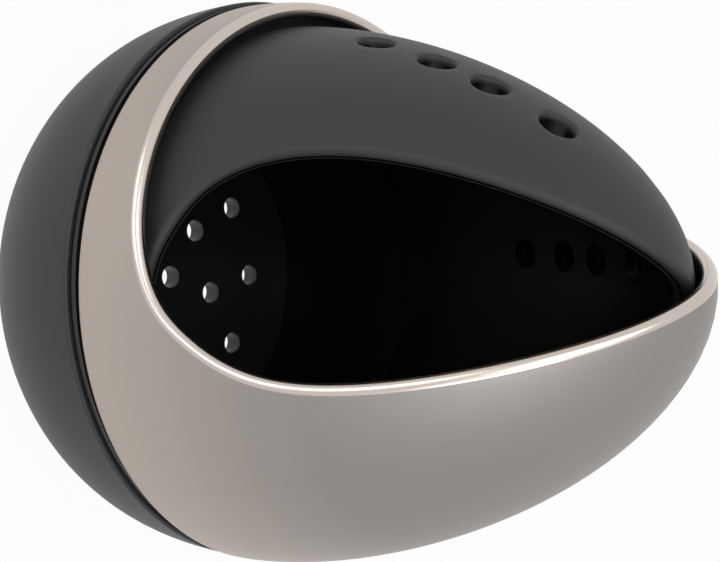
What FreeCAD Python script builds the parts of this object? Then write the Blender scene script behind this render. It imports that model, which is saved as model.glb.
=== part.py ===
import FreeCAD, Part
import math
import os
from FreeCAD import Vector

# A hollow egg-shaped pod that stands on its perforated floor with its nose up.
# A black cup inside a soft rear dome carries a fixed half hood. A half shell of metal turns round
# the hood on a ring bearing at the seam, and so opens or shuts the mouth.
# Origin: centre of the face it stands on. Z is the axis of the pod, and -Y is the middle of the mouth.
# All sizes are in millimetres and degrees. "Above" and "below" are heights from the seam plane.

os.makedirs("parts", exist_ok=True)

# Metal shell: its meridian is (above/length)^along + (r/radius)^across = 1
seam_z = 27.7                 # height of the shell's rear edge over the face the pod stands on
shell_radius = 33.0
shell_length = 49.7           # seam to nose tip
shell_power_along = 1.55
shell_power_across = 1.85
shell_wall = 1.6
shell_skin = 1.0              # metal left outside the bonded liner
liner_margin = 1.8            # the liner stays this far inside the shell's edge
liner_low = 5.0
liner_high = 45.0

# Fixed hood, with a meridian of the same kind
hood_radius = 29.57
hood_length = 47.7
hood_power_along = 1.66
hood_power_across = 1.77
hood_wall = 2.05
hood_soft = 0.8               # thickness of the soft skin on the hood
hood_turn = 0.9               # width of the skin's turned edge over the core
hood_seat = 5.15              # the skirt's lower end, below the seam

# Directions of the middle of each half's opening, and the line that bounds it, as poles of
# (height above the seam, distance from the axis towards the open side). Each line runs in level
# from the side, sweeps up in a large corner and then follows the axis to the nose.
shell_open_angle = -153.25
hood_open_angle = -26.75
shell_opening = ((5.45, 41.2), (5.45, 14.45), (12.4, 5.7), (20.7, 0.2), (39.6, -0.1), (46.9, -0.1),
                 (54.1, -0.1))
hood_opening = ((4.0, 41.2), (4.0, 17.7), (7.4, 11.2), (11.5, 4.3), (24.4, -0.8), (40.0, -0.35),
                (54.1, -0.35))

# Vents of the hood: angle and heights above the seam
vent_rows = ((-156.75, (17.1, 24.2, 30.0, 36.8)), (-206.75, (42.2,)), (-256.75, (17.1, 24.2, 30.0, 36.8)))
vent_radius = 1.93

# Rear dome: its meridian is r = radius * (1 - ((below - front) / reach)^power)^(5/3)
dome_radius = 33.2
dome_reach = 47.6
dome_power = 2.6
dome_front = 1.85             # front edge, below the seam
dome_bottom = 26.9            # flat underside, below the seam
dome_skin = 0.6
dome_floor = 0.8              # thickness of the underside
dome_edge_round = 0.3
dome_low_round = 1.0

# Cup and its perforated floor
floor_top = 24.1              # below the seam
floor_thickness = 2.5
floor_rim = 1.2               # thickness of the floor's rim, which lies on the cup's ledge
floor_radius = 23.3
floor_clearance = 0.05
chamber_radius = 27.5         # at the hood's seat
open_radius = 19.7            # cup and dome leave the perforated field free
hole_radius = 1.5
hole_rings = ((1, 0.0, 0.0), (5, 7.75, 78.5), (9, 15.1, 96.0))   # count, radius, first angle

# Ring bearing at the seam
bearing_inner = 29.6
bearing_outer = 30.25
bearing_top = 3.75
running_gap = 0.05
collar_top = 2.9
flange_radius = 32.75
flange_low = 1.5              # flange of the collar, below the seam
flange_high = 0.83
neck_radius = 32.3
washer_thickness = 0.3
washer_radius = 32.2
retainer_radius = 30.75
retainer_height = 0.6
retainer_bite = 0.3           # depth of its groove in the bearing sleeve
retainer_gap = 10.0
friction_section = 0.32       # radius of the rubber ring's cord
friction_above = 1.7
groove_half = 0.4
groove_depth = 0.65

# Turning range of the shell, from the part-open rest place, and its stop pin
turn_shut = -53.5
turn_open = 126.5
stop_angle = 90.0
stop_circle = 31.3
stop_radius = 0.5
stop_low = 5.0                # below the seam
stop_high = 0.6
slot_half = 0.55
slot_roof = 0.4

# Foot and fasteners
foot_outer = 22.9
foot_inner = 19.9
foot_round = 0.25
screw_circle = 21.4
screw_angles = (30.0, 150.0, 270.0)
hood_screw_angles = (60.0, 180.0, 300.0)
hood_screw_below = 3.5
shank_radius = 0.7
head_radius = 1.3

reach = 45.0                  # half the width of a cutting block, larger than the pod
collar_bore = bearing_outer + running_gap
cup_low = dome_bottom - dome_floor
Z = Vector(0, 0, 1)
ORIGIN = Vector(0, 0, 0)


def at(r, above):
    """A point of a meridian in the XZ plane."""
    return Vector(r, 0, seam_z + above)


def egg_curve(radius, length, along, across):
    """Meridian from the seam to the nose tip, as one smooth curve."""
    steps = 14
    points = []
    for step in range(steps + 1):
        angle = math.radians(90.0 * step / steps)
        r = radius * max(math.cos(angle), 0.0) ** (2 / across)
        points.append(at(0.0 if step == steps else r, length * math.sin(angle) ** (2 / along)))
    curve = Part.BSplineCurve()
    curve.interpolate(Points=points, InitialTangent=Z, FinalTangent=Vector(-1, 0, 0))
    return curve.toShape()


def shell_curve(inset):
    return egg_curve(shell_radius - inset, shell_length - inset, shell_power_along, shell_power_across)


def hood_curve(inset):
    return egg_curve(hood_radius - inset, hood_length - inset, hood_power_along, hood_power_across)


def dome_curve(inset, low):
    """Meridian of the rear dome from its front edge down to a given depth."""
    steps = 8
    points = []
    for step in range(steps + 1):
        depth = (low - dome_front) * step / steps
        r = dome_radius * (1 - (depth / dome_reach) ** dome_power) ** (5 / 3)
        points.append(at(r - inset, -dome_front - depth))
    curve = Part.BSplineCurve()
    curve.interpolate(points)
    return curve.toShape()


def line(*points):
    return [Part.makeLine(a, b) for a, b in zip(points, points[1:])]


def revolved(edges, start_angle=0.0, sweep=360.0):
    """Solid of revolution of a closed meridian, whose seam line lies at start_angle."""
    face = Part.Face(Part.Wire(Part.__sortEdges__(edges)))
    face.rotate(ORIGIN, Z, start_angle)
    return face.revolve(ORIGIN, Z, sweep)


def ends(edge):
    """The lower and the upper end of a meridian."""
    points = [v.Point for v in edge.Vertexes]
    return min(points, key=lambda p: p.z), max(points, key=lambda p: p.z)


def egg_wall(outer, inner, start_angle):
    """The wall between two egg curves, flat at the seam plane."""
    outer_low, outer_top = ends(outer)
    inner_low, inner_top = ends(inner)
    return revolved([outer, inner] + line(outer_top, inner_top) + line(inner_low, outer_low), start_angle)


def egg_body(curve):
    low, top = ends(curve)
    return revolved([curve] + line(top, Vector(0, 0, low.z), low))


def disc(r, low, high):
    return Part.makeCylinder(r, high - low, Vector(0, 0, seam_z + low))


def ring(r_in, r_out, low, high):
    return disc(r_out, low, high).cut(disc(r_in, low, high))


def polar(r, angle, above):
    return Vector(r * math.cos(math.radians(angle)), r * math.sin(math.radians(angle)), seam_z + above)


def opening_cutter(poles, angle, margin=0.0):
    """A block over everything on the open side of a smooth line, widened by a margin."""
    curve = Part.BSplineCurve()
    curve.buildFromPoles([Vector(out - margin, -reach, seam_z + above - margin) for above, out in poles],
                         False, 3)
    first, last = curve.StartPoint, curve.EndPoint
    corner = Vector(first.x, -reach, last.z)
    face = Part.Face(Part.Wire(Part.__sortEdges__([curve.toShape()] + line(last, corner, first))))
    block = face.extrude(Vector(0, 2 * reach, 0))
    block.rotate(ORIGIN, Z, angle)
    return block


def vented(hood_part):
    """A layer of the hood less a cylinder along the surface normal at each vent."""
    depth = 3 * hood_wall
    for angle, heights in vent_rows:
        for above in heights:
            left = 1 - (above / hood_length) ** hood_power_along
            r = hood_radius * left ** (1 / hood_power_across)
            slope_up = hood_power_along / hood_length * (above / hood_length) ** (hood_power_along - 1)
            slope_out = hood_power_across / hood_radius * (r / hood_radius) ** (hood_power_across - 1)
            outward = Vector(slope_out, 0, slope_up).normalize()
            vent = Part.makeCylinder(vent_radius, 2 * depth, at(r, above) - outward * depth, outward)
            vent.rotate(ORIGIN, Z, angle)
            hood_part = hood_part.cut(vent)
    return hood_part


def metal_shell():
    wall = egg_wall(shell_curve(0), shell_curve(shell_wall), shell_open_angle + 180)
    wall = wall.cut(opening_cutter(shell_opening, shell_open_angle))
    return wall.cut(shell_liner())


def shell_liner():
    """Black liner bonded in a shallow recess of the shell's inner face."""
    wall = egg_wall(shell_curve(shell_skin), shell_curve(shell_wall), shell_open_angle + 180)
    wall = wall.cut(opening_cutter(shell_opening, shell_open_angle, liner_margin))
    return wall.common(disc(reach, liner_low, liner_high))


def hood_blank():
    """The core before its vents: the inner part of the wall and the straight skirt below it."""
    outer, inner = hood_curve(hood_soft), hood_curve(hood_wall)
    outer_low, outer_top = ends(outer)
    inner_low, inner_top = ends(inner)
    edges = [outer, inner] + line(outer_top, inner_top)
    edges += line(inner_low, at(inner_low.x, -hood_seat), at(hood_radius, -hood_seat), at(hood_radius, 0),
                  outer_low)
    blank = revolved(edges, hood_open_angle + 180)
    return blank.cut(opening_cutter(hood_opening, hood_open_angle, hood_turn))


def hood_core():
    return vented(hood_blank()).cut(radial_screws())


def hood_skin():
    """Soft skin over the core, turned over its edge to the inside."""
    wall = egg_wall(hood_curve(0), hood_curve(hood_wall), hood_open_angle + 180)
    wall = wall.cut(opening_cutter(hood_opening, hood_open_angle))
    return vented(wall.cut(hood_blank()))


def base_cup():
    """Cup from the hood's seat down to the ledge that the floor lies on."""
    ledge = floor_top + floor_rim
    outside = dome_curve(dome_skin, cup_low)
    bottom, top = ends(outside)
    wall_low = at(floor_radius, -floor_top)
    middle = at(floor_radius + 1.75, -(floor_top + hood_seat) / 2)
    edges = [outside, Part.Arc(wall_low, middle, at(chamber_radius, -hood_seat)).toShape()]
    edges += line(at(chamber_radius, -hood_seat), at(hood_radius, -hood_seat),
                  at(hood_radius, -dome_front), top)
    edges += line(bottom, at(open_radius, -cup_low), at(open_radius, -ledge), at(floor_radius, -ledge), wall_low)
    cup = revolved(edges, 45).cut(stop_pin())
    for screw in floor_screws():
        cup = cup.cut(screw)
    return cup.cut(radial_screws())


def floor_plate():
    """Perforated floor, thick in its open field and thin at the rim that the screws hold."""
    field = disc(open_radius - floor_clearance, -floor_top - floor_thickness, -floor_top)
    rim = disc(floor_radius - floor_clearance, -floor_top - floor_rim, -floor_top)
    plate = field.fuse(rim).removeSplitter()
    for count, radius, first in hole_rings:
        for index in range(count):
            place = polar(radius, first + 360 * index / count, -floor_top - floor_thickness)
            plate = plate.cut(Part.makeCylinder(hole_radius, floor_thickness, place))
    for screw in floor_screws():
        plate = plate.cut(screw)
    return plate


def rear_dome():
    outer, inner = dome_curve(0, dome_bottom), dome_curve(dome_skin, cup_low)
    outer_low, outer_top = ends(outer)
    inner_low, inner_top = ends(inner)
    edges = [outer, inner] + line(inner_top, outer_top)
    edges += line(inner_low, at(open_radius, -cup_low), at(open_radius, -dome_bottom), outer_low)
    dome = revolved(edges, 45)
    dome = dome.makeFillet(dome_low_round, circles(dome, outer_low.x, -dome_bottom))
    dome = dome.makeFillet(dome_edge_round, circles(dome, dome_radius, -dome_front))
    for screw in floor_screws():
        dome = dome.cut(screw)
    return dome


def circles(shape, radius, above):
    """The circular edges of this radius at this height."""
    near = 0.01
    return [edge for edge in shape.Edges
            if isinstance(edge.Curve, Part.Circle) and abs(edge.Curve.Radius - radius) < near
            and abs(edge.Curve.Center.z - seam_z - above) < near]


def foot_ring():
    foot = ring(foot_inner, foot_outer, -seam_z, -dome_bottom)
    low = circles(foot, foot_outer, -seam_z) + circles(foot, foot_inner, -seam_z)
    return foot.makeFillet(foot_round, low)


def floor_screws():
    """Three countersunk screws from the dome's underside through the cup's ledge into the floor."""
    head_height = 0.6
    length = dome_bottom - floor_top - 0.5
    screws = []
    for angle in screw_angles:
        base = polar(screw_circle, angle, -dome_bottom)
        head = Part.makeCone(head_radius, shank_radius, head_height, base)
        screws.append(head.fuse(Part.makeCylinder(shank_radius, length, base)))
    return screws


def hood_screws():
    """Three flat-headed screws through the cup's rim into the hood's skirt."""
    inner_end, head_face, head_height = 28.2, 30.9, 0.6
    screws = []
    for angle in hood_screw_angles:
        outward = Vector(math.cos(math.radians(angle)), math.sin(math.radians(angle)), 0)
        shank = Part.makeCylinder(shank_radius, head_face - inner_end + head_height,
                                  polar(inner_end, angle, -hood_screw_below), outward)
        head = Part.makeCylinder(head_radius, head_height, polar(head_face, angle, -hood_screw_below), outward)
        screws.append(shank.fuse(head))
    return screws


def radial_screws():
    first, second, third = hood_screws()
    return first.fuse(second).fuse(third)


def bearing_ring():
    """Plain sleeve round the hood's skirt, with a groove for the retaining ring."""
    return ring(bearing_inner, bearing_outer, -dome_front, bearing_top).cut(retainer_blank())


def retainer_blank():
    low = collar_top + running_gap
    return ring(bearing_outer - retainer_bite, retainer_radius, low, low + retainer_height)


def retaining_ring():
    """Spring ring, open at one place, that holds the collar down."""
    gap = Part.makeBox(reach, retainer_gap, reach, Vector(0, -retainer_gap / 2, seam_z))
    gap.rotate(ORIGIN, Z, stop_angle)
    return retainer_blank().cut(gap)


def thrust_washer():
    washer = ring(bearing_outer + 2 * running_gap, washer_radius, -dome_front, -dome_front + washer_thickness)
    return washer.cut(stop_pin())


def stop_pin():
    return Part.makeCylinder(stop_radius, stop_low - stop_high, polar(stop_circle, stop_angle, -stop_low))


def friction_ring():
    """Rubber ring in the collar's bore, whose drag holds the shell where it is left."""
    centre = Vector(0, 0, seam_z + friction_above)
    return Part.makeTorus(collar_bore + friction_section + running_gap / 5, friction_section, centre, Z)


def collar_ring():
    """Black collar: a spigot inside the shell, a flange seen in the seam and a plain bore."""
    spigot = ring(collar_bore, shell_radius, 0, collar_top).common(egg_body(shell_curve(shell_wall)))
    collar = spigot.fuse(ring(collar_bore, neck_radius, -flange_high, 0))
    flange = ring(collar_bore, flange_radius, -flange_low, -flange_high)
    collar = collar.fuse(flange).removeSplitter()
    groove = ring(collar_bore - groove_depth, collar_bore + groove_depth,
                  friction_above - groove_half, friction_above + groove_half)
    return collar.cut(groove).cut(stop_slot())


def stop_slot():
    """Arc groove in the flange's underside. The pin meets its ends at the two limits of the turn."""
    margin = math.degrees(math.asin((stop_radius + 1.5 * running_gap) / stop_circle))
    first = stop_angle - turn_open - margin
    sweep = turn_open - turn_shut + 2 * margin
    inner, outer = stop_circle - slot_half, stop_circle + slot_half
    low = -flange_low - slot_roof
    corners = at(inner, low), at(outer, low), at(outer, -slot_roof), at(inner, -slot_roof), at(inner, low)
    return revolved(line(*corners), first, sweep)


def build():
    """Every piece of the pod by name."""
    pieces = {
        "base_cup": base_cup(),
        "floor_plate": floor_plate(),
        "rear_dome": rear_dome(),
        "foot_ring": foot_ring(),
        "hood_core": hood_core(),
        "hood_skin": hood_skin(),
        "bearing_ring": bearing_ring(),
        "retaining_ring": retaining_ring(),
        "thrust_washer": thrust_washer(),
        "stop_pin": stop_pin(),
        "metal_shell": metal_shell(),
        "shell_liner": shell_liner(),
        "collar_ring": collar_ring(),
        "friction_ring": friction_ring(),
    }
    for number, screw in enumerate(floor_screws(), 1):
        pieces[f"dome_screw_{number}"] = screw
    for number, screw in enumerate(hood_screws(), 1):
        pieces[f"hood_screw_{number}"] = screw
    return pieces


for name, shape in build().items():
    shape.exportStep(f"parts/{name}.step")
    print(name, shape.isValid(), len(shape.Solids), round(shape.Volume, 2))
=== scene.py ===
import math

import bmesh
import bpy
from bpy.props import FloatProperty, FloatVectorProperty, IntProperty, PointerProperty, StringProperty
from mathutils import Matrix, Vector


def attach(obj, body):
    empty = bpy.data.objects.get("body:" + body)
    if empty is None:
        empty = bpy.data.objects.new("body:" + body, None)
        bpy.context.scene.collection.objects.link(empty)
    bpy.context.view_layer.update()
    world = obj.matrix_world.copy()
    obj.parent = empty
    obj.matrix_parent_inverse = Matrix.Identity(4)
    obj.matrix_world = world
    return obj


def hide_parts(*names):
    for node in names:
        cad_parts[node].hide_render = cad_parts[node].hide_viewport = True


bl_info = {
    "name": "Rotary Pod",
    "version": (1, 0, 0),
    "blender": (4, 5, 0),
    "location": "3D View > Sidebar > Pod",
    "description": "Dresses an egg-shaped pod with a turning metal half shell and a vented soft hood",
    "category": "Object",
}

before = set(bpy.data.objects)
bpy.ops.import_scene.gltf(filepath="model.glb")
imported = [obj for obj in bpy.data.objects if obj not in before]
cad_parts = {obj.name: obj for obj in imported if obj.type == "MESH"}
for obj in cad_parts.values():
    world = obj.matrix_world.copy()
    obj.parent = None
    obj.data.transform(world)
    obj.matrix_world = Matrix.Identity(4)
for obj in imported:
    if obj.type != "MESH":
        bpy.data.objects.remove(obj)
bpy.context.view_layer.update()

MM = 0.001
UP = Vector((0, 0, 1))
QUARTER_TURN = math.pi / 2
TINY = 1e-9                   # a reach or distance that counts as none

# Powers of each egg's outline, as (along the axis, across it)
SHELL_POWERS = (1.55, 1.85)
HOOD_POWERS = (1.62, 1.77)

# Directions round Z from +X, in degrees: the middle of each half's opening, and the way the shell hangs
SHELL_OPEN_ANGLE = -153.25
HOOD_OPEN_ANGLE = -26.75
PLAY_ANGLE = -15.0

# Lines of the two openings, as (height above the seam, distance out from the axis), in mm
SHELL_OUTLINE = ((5.35, 41.2), (5.35, 14.75), (12.3, 6.05), (20.7, 0.5), (39.6, 0.0), (46.9, 0.0),
                 (54.1, 0.0))
HOOD_OUTLINE = ((4.0, 41.2), (4.0, 17.7), (7.4, 11.2), (11.5, 4.3), (24.4, -0.8), (40.0, -0.35),
                (54.1, -0.35))

# Vents of the hood: angle round Z, and heights above the seam in mm
VENT_ROWS = ((-156.75, (17.1, 24.2, 30.0, 36.8)), (-206.75, (42.2,)), (-256.75, (17.1, 24.2, 30.0, 36.8)))

# How finely the edges and vents are divided
OUTLINE_STEPS = 800           # samples of an opening's line before it is spaced out evenly
OUTER_STEPS = 6               # rows round the outer edge's rounding
INNER_STEPS = 5               # rows round the inner edge's rounding
TURN_STEPS = 2                # rows across the width of the turned edge
FLARE_STEPS = 6               # rows round a vent's flare
VENT_SEGMENTS = 48

HUB_REACH = 0.42              # middle of an opening on the disc of to_disc
EGG_PASSES = 8                # Newton steps that put a point on an egg
DROP_PASSES = 6               # steps that slide a point along an axis onto an egg

# Angle in degrees from which an edge between two faces is shown sharp
SHELL_SHARP = 60
HOOD_SHARP = 35

# Floor and world: half the floor's width in metres, its diffuse grey, how much of it shows as plain white,
# and the strength of the world's light on the pod against 1 where it is seen
FLOOR_HALF = 3.0
FLOOR_GREY = 0.8
FLOOR_WHITE = 0.96
WORLD_FILL = 0.5
SENSOR_WIDTH = 36             # of the camera, in mm

# Soft boxes: name, direction as (right, up, back) of the camera, distance and width in m, power in W
LAMPS = (("Key", (-0.42, 0.5, 0.76), 0.7, 0.35, 0.9),
         ("Front", (0.17, -0.52, 0.82), 0.6, 0.3, 0.75),
         ("Edge", (0.4, 0.15, 0.9), 0.55, 0.4, 1.1))

GLOSS_NAME = "Gloss black ABS"

# Sockets of a Mix node set to colour, whose names repeat
MIX_A, MIX_B, MIX_RESULT = 6, 7, 2


def measure(name, text, value):
    """A length in millimetres as a property in metres."""
    return FloatProperty(name=name, description=text, default=value * MM, unit="LENGTH", precision=5)


def colour(name, text, value):
    """A colour as a property that holds its sRGB hex value."""
    return StringProperty(name=name, description=text + ", as sRGB hex", default=value)


class PodSizes(bpy.types.PropertyGroup):
    """Sizes of the modelled walls."""
    seam_height: measure("Seam height", "Height of the shell's rear edge", 27.7)
    shell_radius: measure("Shell radius", "Outer radius of the shell at the seam", 32.9)
    shell_play: measure("Shell play", "How far the shell's rear edge hangs off the axis", 0.36)
    shell_length: measure("Shell length", "Seam to nose tip", 49.7)
    shell_wall: measure("Shell wall", "Thickness of the shell and its lip", 1.6)
    shell_skin: measure("Shell skin", "Metal left outside the liner", 1.0)
    liner_margin: measure("Liner margin", "Width of bare metal inside the lip", 1.8)
    shell_roll: measure("Shell roll", "Rounding of the shell's outer edge", 0.85)
    shell_lip: measure("Shell lip", "Rounding of the shell's inner edge", 0.7)
    shell_foot: measure("Shell foot", "Rounding of the shell's rear edge", 0.1)
    hood_radius: measure("Hood radius", "Outer radius of the hood at the seam", 29.9)
    hood_length: measure("Hood length", "Seam to the hood's nose", 47.7)
    hood_wall: measure("Hood wall", "Thickness of the whole hood", 2.05)
    hood_soft: measure("Soft skin", "Thickness of the hood's soft skin", 0.8)
    hood_turn: measure("Turned edge", "Width of the skin's turned edge", 0.9)
    hood_lip: measure("Hood lip", "Rounding of the hood's edges", 0.85)
    hood_skirt: measure("Hood skirt", "How far the hood reaches below the seam", 5.15)
    vent_bore: measure("Vent bore", "Radius of each vent", 1.93)
    vent_rim: measure("Vent rim", "Rounding of each vent's outer edge", 0.62)
    vent_depth: measure("Vent depth", "How far a vent's plug reaches below the hood's face", 5)
    vent_top: measure("Vent top", "How far a vent's plug reaches above the hood's face", 0.8)
    stations: IntProperty(name="Stations", description="Points along each opening's edge",
                          default=240, min=48)
    rows: IntProperty(name="Rows", description="Rows from an opening's edge to the seam", default=40, min=8)


class PodFinishes(bpy.types.PropertyGroup):
    """Colours of the finishes."""
    metal: colour("Satin metal", "Grey vapour-coated metal towards the nose", "#8f8b88")
    # Painted highlight: this seam-side colour is lighter and warmer than the nose's and stands in for the
    # light on that side
    metal_seam_highlight: colour("Satin metal rim", "Warmer and lighter coat towards the seam", "#b2a8a0")
    # Painted highlight: the lip is coloured lighter than the same coat on the shell's face
    lip: colour("Polished lip", "Vapour-coated metal of the lip", "#c4bab2")
    soft_dome: colour("Soft dome", "Soft-touch coat of the dome", "#232428")
    soft_hood: colour("Soft hood", "Soft-touch coat of the hood", "#29292b")
    gloss: colour("Gloss black", "Moulded gloss black", "#111113")
    rubber: colour("Black rubber", "Foot and friction rings", "#1a1a1b")
    steel: colour("Steel", "Screws and stop pin", "#b8b9ba")
    floor: colour("Black ABS", "Perforated floor", "#262629")
    # Painted shade: the acetal is drawn near black, darker than the other black parts, for the shade in the
    # seam gap
    acetal: colour("Black acetal", "Bearing sleeve and washer", "#060606")
    oxide: colour("Black oxide", "Spring ring", "#1a1a1b")


class PodStage(bpy.types.PropertyGroup):
    """Camera, lights and floor."""
    azimuth: FloatProperty(name="Azimuth", description="Camera direction",
                           default=math.radians(3.99), subtype="ANGLE")
    elevation: FloatProperty(name="Elevation", description="Camera height angle",
                             default=math.radians(38.50), subtype="ANGLE")
    roll: FloatProperty(name="Roll", description="Camera roll",
                        default=math.radians(91.22), subtype="ANGLE")
    distance: measure("Distance", "Camera to the aimed point", 128.86)
    aim_right: measure("Aim right", "Aimed point right of the seam's middle", 6.733)
    aim_up: measure("Aim up", "Aimed point above the seam's middle", -0.149)
    lens: FloatProperty(name="Lens", description="Focal length", default=53.2, unit="CAMERA")


def settings():
    return bpy.context.scene.pod_sizes


def colours():
    return bpy.context.scene.pod_finishes


# ---- shapes -------------------------------------------------------------------------------------

class Egg:
    """Surface of revolution (height/length)^along + (r/radius)^across = 1 over the seam plane."""

    def __init__(self, radius, length, powers):
        self.radius = radius
        self.length = length
        self.powers = powers
        self.along, self.across = powers

    def inside(self, inset):
        """The egg this far under the surface."""
        return Egg(self.radius - inset, self.length - inset, self.powers)

    def radius_at(self, height):
        share = (max(height, 0.0) / self.length) ** self.along
        return self.radius * max(1 - share, 0.0) ** (1 / self.across)

    def towards(self, direction):
        """Where the ray from the middle of the seam in this direction meets the surface."""
        up = max(direction.z, 0.0) / self.length
        out = math.hypot(direction.x, direction.y) / self.radius
        reach = 1 / max(up, out)
        for _ in range(EGG_PASSES):
            rise = (up * reach) ** self.along
            spread = (out * reach) ** self.across
            slope = (self.along * rise + self.across * spread) / reach
            reach -= (rise + spread - 1) / slope
        return direction * reach

    def normal(self, point):
        """Outward direction of the surface at a point on it."""
        r = math.hypot(point.x, point.y)
        if r < TINY:
            return UP.copy()
        steep = self.along / self.length * (max(point.z, 0.0) / self.length) ** (self.along - 1)
        wide = self.across / self.radius * (r / self.radius) ** (self.across - 1)
        return Vector((wide * point.x / r, wide * point.y / r, steep)).normalized()


def shell_egg():
    sizes = settings()
    return Egg(sizes.shell_radius, sizes.shell_length, SHELL_POWERS)


def hood_egg():
    sizes = settings()
    return Egg(sizes.hood_radius, sizes.hood_length, HOOD_POWERS)


def spline_point(poles, share):
    """Point of the clamped uniform cubic B-spline of these poles at a share of 0 to 1."""
    spans = len(poles) - 3
    knots = [0] * 3 + list(range(spans + 1)) + [spans] * 3
    place = share * spans
    first = min(int(place), spans - 1)
    points = [Vector(poles[first + index]) for index in range(4)]
    for level in range(1, 4):
        for index in range(3, level - 1, -1):
            low = knots[first + index]
            high = knots[first + index + 4 - level]
            points[index] = points[index - 1].lerp(points[index], (place - low) / (high - low))
    return points[3]


def opening_loop(egg, outline, count):
    """Evenly spaced points of the edge that an opening cuts in an egg, open towards +X."""
    side = []
    for step in range(OUTLINE_STEPS + 1):
        height, out = spline_point(outline, step / OUTLINE_STEPS) * MM
        r = egg.radius_at(height)
        if r > abs(out):
            side.append(Vector((out, math.sqrt(r * r - out * out), height)))
    side[0].y = side[-1].y = 0.0
    loop = side + [Vector((p.x, -p.y, p.z)) for p in reversed(side[1:-1])]
    loop.append(loop[0].copy())
    run = [0.0]
    for a, b in zip(loop, loop[1:]):
        run.append(run[-1] + (b - a).length)
    points, piece = [], 0
    for station in range(count):
        target = run[-1] * station / count
        while run[piece + 1] < target:
            piece += 1
        share = (target - run[piece]) / (run[piece + 1] - run[piece])
        points.append(loop[piece].lerp(loop[piece + 1], share))
    return [egg.towards(point) for point in points]


def to_disc(point):
    """Flattens a direction to a disc whose middle is the nose and whose rim is the seam."""
    r = math.hypot(point.x, point.y)
    if r < TINY:
        return Vector((0.0, 0.0))
    reach = 1 - math.atan2(max(point.z, 0.0), r) / QUARTER_TURN
    return Vector((point.x, point.y)) * (reach / r)


def from_disc(spot):
    """The direction that to_disc puts at this spot."""
    reach = min(spot.length, 1.0)
    if reach < TINY:
        return UP.copy()
    tilt = (1 - reach) * QUARTER_TURN
    out = math.cos(tilt) / spot.length
    return Vector((spot.x * out, spot.y * out, math.sin(tilt)))


def rim_spot(start, hub, reach):
    """Where the line from the hub through start leaves the disc of this reach."""
    way = (start - hub).normalized()
    along = hub.dot(way)
    return hub + way * (-along + math.sqrt(along * along - hub.length_squared + reach * reach))


def quarter(steps):
    """Shares (out, down) of a rounded corner from its first face to its second."""
    turns = [QUARTER_TURN * step / steps for step in range(steps + 1)]
    return [(1 - math.sin(turn), 1 - math.cos(turn)) for turn in turns]


def half_sections(egg, skin, wall, outline, rolls, turn, feet):
    """Closed cross-sections of both layers of a half, one for each station along its opening.

    The skin is turned over the edge and covers the lining. rolls are the roundings of the outer and
    the inner edge, turn is the width of the turned edge, and feet are the (radius, height) points
    that end the skin and the lining at the seam. A skin with such points stops short of the seam to
    meet them."""
    sizes = settings()
    edge = opening_loop(egg, outline, sizes.stations)
    hub = Vector((HUB_REACH, 0.0))
    middle = egg.towards(from_disc(hub))
    between, inner_egg = egg.inside(skin), egg.inside(wall)
    roll, lip = rolls
    rim = 1 - math.atan2(sizes.shell_foot, egg.radius) / QUARTER_TURN if feet[0] else 1.0
    skins, linings = [], []
    for station, corner in enumerate(edge):
        along = edge[(station + 1) % len(edge)] - edge[station - 1]
        inward = egg.normal(corner).cross(along).normalized()
        if inward.dot(corner - middle) < 0:
            inward.negate()
        down = inner_egg.towards(corner.normalized()) - corner
        depth = down.length
        down.normalize()
        start = to_disc(corner + inward * roll)
        section = on_egg(egg, start, rim_spot(start, hub, rim), sizes.rows)[::-1]
        for out, drop in quarter(OUTER_STEPS)[1:]:
            section.append(egg.towards(corner + inward * roll * out) + down * roll * drop)
        for drop, out in reversed(quarter(INNER_STEPS)):
            section.append(corner + inward * lip * out + down * (depth - lip * drop))
        start, turned = to_disc(corner + inward * lip), to_disc(corner + inward * turn)
        end = rim_spot(turned, hub, 1.0)
        section += on_egg(inner_egg, start, turned, TURN_STEPS)[1:]
        beneath = on_egg(between, turned, end, sizes.rows)
        inside = on_egg(inner_egg, turned, end, sizes.rows)
        way = Vector((end.x, end.y, 0)).normalized()
        skins.append(section + beneath + [way * r + UP * height for r, height in feet[0]])
        linings.append(beneath[::-1] + inside + [way * r + UP * height for r, height in feet[1]])
    return skins, linings


def on_egg(egg, start, end, rows):
    """Points of an egg along a straight line of the disc."""
    return [egg.towards(from_disc(start.lerp(end, row / rows))) for row in range(rows + 1)]


def loft(bm, sections, lip_rows=()):
    """Skins closed cross-sections that stand round a closed loop. The lip rows get the second finish."""
    loop = bmesh.ops.create_circle(bm, cap_ends=False, segments=len(sections), radius=1)["verts"]
    for vert, section in zip(loop, sections):
        vert.co = section[0]
    first = ring_edges(loop)
    edges = first
    for row in range(1, len(sections[0])):
        made = bmesh.ops.extrude_edge_only(bm, edges=edges)["geom"]
        for face in made:
            if isinstance(face, bmesh.types.BMFace):
                face.material_index = int(row in lip_rows)
        loop = following(loop, made)
        for vert, section in zip(loop, sections):
            vert.co = section[row]
        edges = ring_edges(loop)
    bmesh.ops.bridge_loops(bm, edges=first + edges)
    face_outwards(bm)


def face_outwards(bm):
    """Turns every face of closed forms outwards."""
    bmesh.ops.recalc_face_normals(bm, faces=bm.faces)
    if bm.calc_volume(signed=True) < 0:
        bmesh.ops.reverse_faces(bm, faces=bm.faces)


def ring_edges(loop):
    """The edges between the vertices of a closed loop."""
    return [edge_between(a, b) for a, b in zip(loop, loop[1:] + loop[:1])]


def edge_between(a, b):
    return next(edge for edge in a.link_edges if edge.other_vert(a) is b)


def following(loop, geometry):
    """The new vertices of an extrusion, in the order of the loop that they came from."""
    fresh = {item for item in geometry if isinstance(item, bmesh.types.BMVert)}
    return [next(edge.other_vert(vert) for edge in vert.link_edges if edge.other_vert(vert) in fresh)
            for vert in loop]


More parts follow.
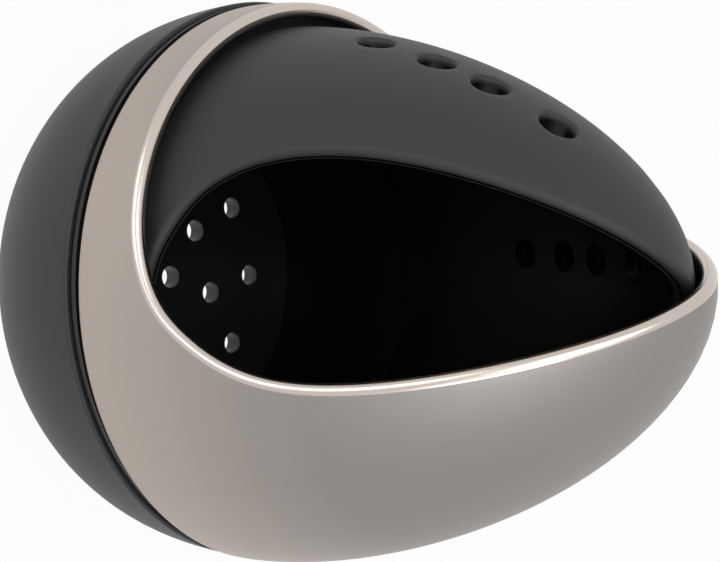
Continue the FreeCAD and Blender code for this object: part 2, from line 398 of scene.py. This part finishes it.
def add_piece(name, bm, materials, body, nodes, sharp):
    """Turns a bmesh into a finished piece that stands for CAD nodes."""
    mesh = bpy.data.meshes.new(name)
    bm.to_mesh(mesh)
    bm.free()
    mesh.polygons.foreach_set("use_smooth", [True] * len(mesh.polygons))
    mesh.set_sharp_from_angle(angle=math.radians(sharp))
    for material in materials:
        mesh.materials.append(material)
    piece = bpy.data.objects.new(name, mesh)
    bpy.context.scene.collection.objects.link(piece)
    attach(piece, body)
    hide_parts(*nodes)


def place_half(bm, angle):
    """Turns a half that is open towards +X to its own direction, and lifts it to the seam."""
    place = Matrix.Translation(UP * settings().seam_height) @ Matrix.Rotation(math.radians(angle), 4, "Z")
    bmesh.ops.transform(bm, matrix=place, verts=bm.verts)


def hang():
    """Matrix that moves the shell's rear edge off the axis and leaves its nose where it is."""
    sizes = settings()
    lean = Vector((sizes.shell_play / sizes.shell_length, 0, 0))
    way = Matrix.Rotation(math.radians(PLAY_ANGLE), 3, "Z") @ lean
    shear = Matrix.Translation(way * (sizes.seam_height + sizes.shell_length))
    shear[0][2], shear[1][2] = -way.x, -way.y
    return shear


def vent_cutter():
    """One mesh of round plugs that follow the hood's surface and flare at its outer face."""
    sizes = settings()
    flare = sizes.vent_rim
    flare_angle = math.radians(72)
    lift, spread = 0.03 * MM, 0.5 * MM
    profile = [(sizes.vent_bore, -sizes.vent_depth)]
    for step in range(FLARE_STEPS + 1):
        turn = flare_angle * step / FLARE_STEPS
        out = flare * (1 - math.cos(turn))
        profile.append((sizes.vent_bore + out, lift - flare * (1 - math.sin(turn))))
    profile.append((profile[-1][0] + spread, sizes.vent_top))
    bm = bmesh.new()
    for angle, heights in VENT_ROWS:
        for height in heights:
            plug = vent_plug(hood_egg(), height * MM, profile)
            turned = Matrix.Rotation(math.radians(angle - HOOD_OPEN_ANGLE), 4, "Z")
            bmesh.ops.transform(plug, matrix=turned, verts=plug.verts)
            face_outwards(plug)
            join(bm, plug)
    return bm


def vent_plug(egg, height, profile):
    """A round plug at this height over +X, whose rings stay level with the egg's surface."""
    centre = Vector((egg.radius_at(height), 0, height))
    axis = egg.normal(centre)
    across = UP.cross(axis).normalized()
    upward = axis.cross(across)
    plug = bmesh.new()
    loop = bmesh.ops.create_circle(plug, cap_ends=False, segments=VENT_SEGMENTS, radius=1)["verts"]
    ways = [across * vert.co.x + upward * vert.co.y for vert in loop]
    edges = ring_edges(loop)
    bmesh.ops.contextual_create(plug, geom=edges)
    for index, (r, lift) in enumerate(profile):
        if index:
            loop = following(loop, bmesh.ops.extrude_edge_only(plug, edges=edges)["geom"])
            edges = ring_edges(loop)
        for vert, way in zip(loop, ways):
            vert.co = dropped_to(egg, centre + way * r, axis) + axis * lift
    bmesh.ops.contextual_create(plug, geom=edges)
    return plug


def join(bm, other):
    """Adds the other bmesh to this one and frees it."""
    mesh = bpy.data.meshes.new("joined")
    other.to_mesh(mesh)
    other.free()
    bm.from_mesh(mesh)
    bpy.data.meshes.remove(mesh)


def dropped_to(egg, point, axis):
    """The point moved along the axis onto the egg."""
    for _ in range(DROP_PASSES):
        on_face = egg.towards(point.normalized())
        gap = (point - on_face).dot(egg.normal(on_face))
        point = point - axis * (gap / axis.dot(egg.normal(on_face)))
    return point


def cut_by(bm, cutter):
    """The bmesh less the cutter's volume."""
    scene = bpy.context.scene
    helpers = []
    for name, source in (("wall", bm), ("plugs", cutter)):
        mesh = bpy.data.meshes.new(name)
        source.to_mesh(mesh)
        source.free()
        helper = bpy.data.objects.new(name, mesh)
        scene.collection.objects.link(helper)
        helpers.append(helper)
    wall, plugs = helpers
    difference = wall.modifiers.new("vents", "BOOLEAN")
    difference.operation = "DIFFERENCE"
    difference.solver = "EXACT"
    difference.object = plugs
    depsgraph = bpy.context.evaluated_depsgraph_get()
    result = bpy.data.meshes.new_from_object(wall.evaluated_get(depsgraph))
    cut = bmesh.new()
    cut.from_mesh(result)
    bpy.data.meshes.remove(result)
    for helper in helpers:
        mesh = helper.data
        bpy.data.objects.remove(helper)
        bpy.data.meshes.remove(mesh)
    return cut


# ---- finishes -----------------------------------------------------------------------------------

def linear(text):
    """Linear colour of an sRGB hex value."""
    parts = [int(text[i:i + 2], 16) / 255 for i in (1, 3, 5)]
    return tuple(c / 12.92 if c <= 0.04045 else ((c + 0.055) / 1.055) ** 2.4 for c in parts) + (1.0,)


def node(tree, kind, inputs=None, **values):
    """Adds a node, sets its properties, and sets or links its inputs."""
    made = tree.nodes.new(kind)
    for key, value in values.items():
        setattr(made, key, value)
    for key, value in (inputs or {}).items():
        if isinstance(value, bpy.types.NodeSocket):
            tree.links.new(value, made.inputs[key])
        else:
            made.inputs[key].default_value = value
    return made


def new_material(name):
    """An empty material and its node tree."""
    material = bpy.data.materials.new(name)
    material.use_nodes = True
    tree = material.node_tree
    tree.nodes.clear()
    return material, tree


def finish_with(tree, shader):
    """Sends a shader to the material's surface."""
    node(tree, "ShaderNodeOutputMaterial", {"Surface": shader.outputs[0]})


def scale(feature):
    """Scale of a noise whose features are this wide, in mm."""
    return 1 / (feature * MM)


def satin_metal():
    """Vapour-coated steel, blasted to a fine satin: a very broad soft highlight and a warm grey.

    The coat is painted warmer and lighter by the seam than towards the nose: a painted highlight for the
    light on that side."""
    material, tree = new_material("Satin vapour-coated metal")
    place = node(tree, "ShaderNodeTexCoord")
    grit = node(tree, "ShaderNodeTexNoise",
                {"Vector": place.outputs["Object"], "Scale": scale(0.1923), "Detail": 2.0})
    bump = node(tree, "ShaderNodeBump",
                {"Height": grit.outputs["Fac"], "Strength": 0.04, "Distance": 0.1 * MM})
    cloud = node(tree, "ShaderNodeTexNoise",
                 {"Vector": place.outputs["Object"], "Scale": scale(16.67), "Detail": 3.0})
    rough = node(tree, "ShaderNodeMapRange",
                 {"Value": cloud.outputs["Fac"], "To Min": 0.46, "To Max": 0.54})
    # Painted highlight: from 30 to 50 mm up, the colour runs from the lighter seam colour to the nose
    # colour
    height = node(tree, "ShaderNodeSeparateXYZ", {"Vector": place.outputs["Object"]})
    share = node(tree, "ShaderNodeMapRange",
                 {"Value": height.outputs["Z"], "From Min": 30 * MM, "From Max": 50 * MM})
    rim, nose = linear(colours().metal_seam_highlight), linear(colours().metal)
    tone_with_painted_highlight = node(tree, "ShaderNodeMix", {"Factor": share.outputs[0], MIX_A: rim, MIX_B: nose},
                data_type="RGBA")
    shader = node(tree, "ShaderNodeBsdfPrincipled",
                  {"Base Color": tone_with_painted_highlight.outputs[MIX_RESULT], "Metallic": 1.0, "Roughness": rough.outputs[0],
                   "Normal": bump.outputs[0]})
    finish_with(tree, shader)
    return material


def polished_lip():
    """The same coat over the shell's turned and polished lip: small, bright and clear highlights. Its
    colour is drawn lighter than the coat's: a painted highlight along the lip.
    """
    material, tree = new_material("Polished vapour-coated lip")
    place = node(tree, "ShaderNodeTexCoord")
    wear = node(tree, "ShaderNodeTexNoise",
                {"Vector": place.outputs["Object"], "Scale": scale(7.143), "Detail": 3.0})
    rough = node(tree, "ShaderNodeMapRange",
                 {"Value": wear.outputs["Fac"], "To Min": 0.2, "To Max": 0.28})
    shader = node(tree, "ShaderNodeBsdfPrincipled",
                  {"Base Color": linear(colours().lip), "Metallic": 1.0, "Roughness": rough.outputs[0]})
    finish_with(tree, shader)
    return material


def soft_touch(name, hex_colour, roughness):
    """Soft-touch coat over moulded plastic: matte, with a faint sheen and a very fine grain."""
    material, tree = new_material(name)
    place = node(tree, "ShaderNodeTexCoord")
    grain = node(tree, "ShaderNodeTexNoise",
                 {"Vector": place.outputs["Object"], "Scale": scale(0.3125), "Detail": 2.0})
    bump = node(tree, "ShaderNodeBump",
                {"Height": grain.outputs["Fac"], "Strength": 0.06, "Distance": 0.1 * MM})
    cloud = node(tree, "ShaderNodeTexNoise",
                 {"Vector": place.outputs["Object"], "Scale": scale(22.22), "Detail": 4.0})
    rough = node(tree, "ShaderNodeMapRange",
                 {"Value": cloud.outputs["Fac"], "To Min": roughness - 0.03, "To Max": roughness + 0.04})
    shader = node(tree, "ShaderNodeBsdfPrincipled",
                  {"Base Color": linear(hex_colour), "Roughness": rough.outputs[0], "IOR": 1.42,
                   "Normal": bump.outputs[0]})
    finish_with(tree, shader)
    return material


def gloss_black():
    """Moulded ABS, made once and shared: deep black with a soft, dim reflection."""
    if GLOSS_NAME in bpy.data.materials:
        return bpy.data.materials[GLOSS_NAME]
    material, tree = new_material(GLOSS_NAME)
    place = node(tree, "ShaderNodeTexCoord")
    ripple = node(tree, "ShaderNodeTexNoise",
                  {"Vector": place.outputs["Object"], "Scale": scale(8.333), "Detail": 1.0})
    bump = node(tree, "ShaderNodeBump",
                {"Height": ripple.outputs["Fac"], "Strength": 0.02, "Distance": 0.4 * MM})
    shader = node(tree, "ShaderNodeBsdfPrincipled",
                  {"Base Color": linear(colours().gloss), "Roughness": 0.32, "IOR": 1.4,
                   "Normal": bump.outputs[0]})
    finish_with(tree, shader)
    return material


def plain(name, hex_colour, roughness, metallic, grain, ior=1.5):
    """One plain colour, with a grain of this width in mm in its roughness."""
    material, tree = new_material(name)
    place = node(tree, "ShaderNodeTexCoord")
    cloud = node(tree, "ShaderNodeTexNoise", {"Vector": place.outputs["Object"], "Scale": scale(grain)})
    rough = node(tree, "ShaderNodeMapRange",
                 {"Value": cloud.outputs["Fac"], "To Min": roughness - 0.05, "To Max": roughness + 0.05})
    shader = node(tree, "ShaderNodeBsdfPrincipled",
                  {"Base Color": linear(hex_colour), "Roughness": rough.outputs[0], "Metallic": metallic,
                   "IOR": ior})
    finish_with(tree, shader)
    return material


def give_material(names, material):
    """Dresses CAD nodes."""
    for name in names:
        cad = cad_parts[name]
        cad.data.materials.clear()
        cad.data.materials.append(material)


# ---- operators ----------------------------------------------------------------------------------

class POD_OT_metal_shell(bpy.types.Operator):
    """Model the turning half shell with its rolled lip, and its black lining"""
    bl_idname = "pod.metal_shell"
    bl_label = "Metal Shell"

    def execute(self, context):
        sizes = settings()
        egg = shell_egg()
        foot = [(egg.radius - sizes.shell_foot, 0)]
        skins, linings = half_sections(egg, sizes.shell_skin, sizes.shell_wall, SHELL_OUTLINE,
                                       (sizes.shell_roll, sizes.shell_lip), sizes.liner_margin, (foot, []))
        # The lip takes the rows of both roundings, the flat between them and the turned edge
        first = sizes.rows + 1
        lip_rows = range(first, first + OUTER_STEPS + INNER_STEPS + 1 + TURN_STEPS)
        metal = (satin_metal(), polished_lip())
        for name, sections, rows, materials, nodes, slot in (
                ("satin_shell", skins, lip_rows, metal, ["metal_shell"], "satin_metal"),
                ("black_lining", linings, (), (gloss_black(),), ["shell_liner"], "gloss_black")):
            bm = bmesh.new()
            loft(bm, sections, rows)
            place_half(bm, SHELL_OPEN_ANGLE)
            bmesh.ops.transform(bm, matrix=hang(), verts=bm.verts)
            add_piece(name, bm, materials, "shutter", nodes, SHELL_SHARP)
        return {"FINISHED"}


class POD_OT_hood(bpy.types.Operator):
    """Model the hood's soft skin and its gloss inner half, with rounded lips and vents"""
    bl_idname = "pod.hood"
    bl_label = "Hood"

    def execute(self, context):
        sizes = settings()
        egg = hood_egg()
        skirt = -sizes.hood_skirt
        core_foot = [(egg.radius - sizes.hood_wall, skirt), (egg.radius, skirt), (egg.radius, 0)]
        skins, linings = half_sections(egg, sizes.hood_soft, sizes.hood_wall, HOOD_OUTLINE,
                                       (sizes.hood_lip, sizes.hood_lip), sizes.hood_turn, ([], core_foot))
        coat = soft_touch("Soft-touch charcoal coat", colours().soft_hood, 0.55)
        for name, sections, material, nodes, slot in (
                ("soft_hood", skins, coat, ["hood_skin"], "soft_charcoal"),
                ("gloss_hood", linings, gloss_black(), ["hood_core"], "gloss_black")):
            bm = bmesh.new()
            loft(bm, sections)
            bm = cut_by(bm, vent_cutter())
            place_half(bm, HOOD_OPEN_ANGLE)
            add_piece(name, bm, (material,), "base", nodes, HOOD_SHARP)
        return {"FINISHED"}


class POD_OT_base(bpy.types.Operator):
    """Finish the cup, its floor, the dome's soft skin and the rubber rings"""
    bl_idname = "pod.base"
    bl_label = "Cup and Dome"

    def execute(self, context):
        give_material(["base_cup"], gloss_black())
        give_material(["floor_plate"], plain("Moulded black ABS", colours().floor, 0.35, 0.0, 0.3))
        give_material(["rear_dome"], soft_touch("Soft-touch dark coat", colours().soft_dome, 0.5))
        rubber = plain("Black rubber", colours().rubber, 0.7, 0.0, 0.3)
        give_material(["foot_ring", "friction_ring"], rubber)
        return {"FINISHED"}


class POD_OT_bearing(bpy.types.Operator):
    """Finish the collar, the bearing, the stop pin and the screws"""
    bl_idname = "pod.bearing"
    bl_label = "Bearing and Fasteners"

    def execute(self, context):
        give_material(["collar_ring"], gloss_black())
        # Painted shade: the bearing and washer are drawn near black for the shade in the seam gap
        acetal = plain("Black acetal", colours().acetal, 0.7, 0.0, 0.4, ior=1.2)
        give_material(["bearing_ring", "thrust_washer"], acetal)
        give_material(["retaining_ring"], plain("Black-oxide spring steel", colours().oxide, 0.5, 1.0, 0.3))
        steel = [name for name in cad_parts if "screw" in name] + ["stop_pin"]
        give_material(steel, plain("Zinc-plated steel", colours().steel, 0.35, 1.0, 0.2))
        return {"FINISHED"}


class POD_OT_stage(bpy.types.Operator):
    """Set the floor, the world, the lamps and the camera"""
    bl_idname = "pod.stage"
    bl_label = "Stage"

    def execute(self, context):
        scene = context.scene
        scene.view_settings.view_transform = "Standard"
        axes = camera_axes()
        add_camera(axes)
        add_floor()
        add_world()
        for name, way, distance, width, power in LAMPS:
            add_lamp(name, axes, way, distance, width, power)
        return {"FINISHED"}


def camera_axes():
    """Right, up and back of the rolled camera."""
    stage = bpy.context.scene.pod_stage
    level = Vector((math.cos(stage.azimuth), math.sin(stage.azimuth), 0))
    back = Vector((math.sin(stage.azimuth) * math.cos(stage.elevation),
                   -math.cos(stage.azimuth) * math.cos(stage.elevation), math.sin(stage.elevation)))
    upright = back.cross(level)
    right = level * math.cos(stage.roll) + upright * math.sin(stage.roll)
    return right, back.cross(right), back


def seam_middle():
    return UP * settings().seam_height


def add_camera(axes):
    """The camera, aimed beside the seam's middle."""
    stage = bpy.context.scene.pod_stage
    right, up, back = axes
    data = bpy.data.cameras.new("Camera")
    data.sensor_width = SENSOR_WIDTH
    data.lens = stage.lens
    data.clip_start = MM
    camera = bpy.data.objects.new("Camera", data)
    turned = Matrix((right, up, back)).transposed().to_4x4()
    place = seam_middle() + right * stage.aim_right + up * stage.aim_up + back * stage.distance
    camera.matrix_world = Matrix.Translation(place) @ turned
    bpy.context.scene.collection.objects.link(camera)
    bpy.context.scene.camera = camera


def add_lamp(name, axes, way, distance, width, power):
    """A square soft box that faces the pod, placed along the camera's axes."""
    right, up, back = axes
    direction = (right * way[0] + up * way[1] + back * way[2]).normalized()
    data = bpy.data.lights.new(name, "AREA")
    data.shape = "SQUARE"
    data.size = width
    data.energy = power
    lamp = bpy.data.objects.new(name, data)
    lamp.location = seam_middle() + direction * distance
    lamp.rotation_euler = direction.to_track_quat("Z", "Y").to_euler()
    bpy.context.scene.collection.objects.link(lamp)


def clear_view(tree):
    """1 for rays that show the background itself, and 0 for those that only carry its light."""
    seen = node(tree, "ShaderNodeLightPath")
    clear = node(tree, "ShaderNodeMath",
                 {0: seen.outputs["Is Camera Ray"], 1: seen.outputs["Is Glossy Ray"]}, operation="MAXIMUM")
    return node(tree, "ShaderNodeMath", {0: clear.outputs[0], 1: seen.outputs["Is Transmission Ray"]},
                operation="MAXIMUM")


def add_floor():
    """A white floor that keeps the pod's shadow."""
    bm = bmesh.new()
    bmesh.ops.create_grid(bm, x_segments=1, y_segments=1, size=FLOOR_HALF)
    mesh = bpy.data.meshes.new("floor")
    bm.to_mesh(mesh)
    bm.free()
    material, tree = new_material("White sweep")
    clear = clear_view(tree)
    matte = node(tree, "ShaderNodeBsdfDiffuse", {"Color": (FLOOR_GREY, FLOOR_GREY, FLOOR_GREY, 1)})
    glow = node(tree, "ShaderNodeEmission", {"Color": (1, 1, 1, 1), "Strength": 1.0})
    share = node(tree, "ShaderNodeMath", {0: clear.outputs[0], 1: FLOOR_WHITE}, operation="MULTIPLY")
    mix = node(tree, "ShaderNodeMixShader", {0: share.outputs[0], 1: matte.outputs[0], 2: glow.outputs[0]})
    finish_with(tree, mix)
    mesh.materials.append(material)
    floor = bpy.data.objects.new("floor", mesh)
    bpy.context.scene.collection.objects.link(floor)


def add_world():
    """White where it is seen, and a plain fill light on the pod."""
    world = bpy.data.worlds.new("Studio")
    world.use_nodes = True
    tree = world.node_tree
    tree.nodes.clear()
    clear = clear_view(tree)
    strength = node(tree, "ShaderNodeMapRange",
                    {"Value": clear.outputs[0], "To Min": WORLD_FILL, "To Max": 1.0})
    background = node(tree, "ShaderNodeBackground",
                      {"Color": (1, 1, 1, 1), "Strength": strength.outputs[0]})
    node(tree, "ShaderNodeOutputWorld", {"Surface": background.outputs[0]})
    bpy.context.scene.world = world


class POD_PT_panel(bpy.types.Panel):
    """Lists the pod's pieces"""
    bl_idname = "POD_PT_panel"
    bl_label = "Rotary Pod"
    bl_space_type = "VIEW_3D"
    bl_region_type = "UI"
    bl_category = "Pod"

    def draw(self, context):
        for operator in OPERATORS:
            self.layout.operator(operator.bl_idname)
        for group in (context.scene.pod_sizes, context.scene.pod_finishes, context.scene.pod_stage):
            box = self.layout.box()
            for name in group.bl_rna.properties.keys():
                if name not in ("rna_type", "name"):
                    box.prop(group, name)


GROUPS = {"pod_sizes": PodSizes, "pod_finishes": PodFinishes, "pod_stage": PodStage}
OPERATORS = (POD_OT_metal_shell, POD_OT_hood, POD_OT_base, POD_OT_bearing, POD_OT_stage)


def register():
    for item in (*GROUPS.values(), *OPERATORS, POD_PT_panel):
        bpy.utils.register_class(item)
    for name, group in GROUPS.items():
        setattr(bpy.types.Scene, name, PointerProperty(type=group))


def unregister():
    for name in GROUPS:
        delattr(bpy.types.Scene, name)
    for item in reversed((*GROUPS.values(), *OPERATORS, POD_PT_panel)):
        bpy.utils.unregister_class(item)


def main():
    """Builds and dresses the pod."""
    register()
    for operator in OPERATORS:
        group, name = operator.bl_idname.split(".")
        getattr(getattr(bpy.ops, group), name)()


if __name__ == "__main__":
    main()
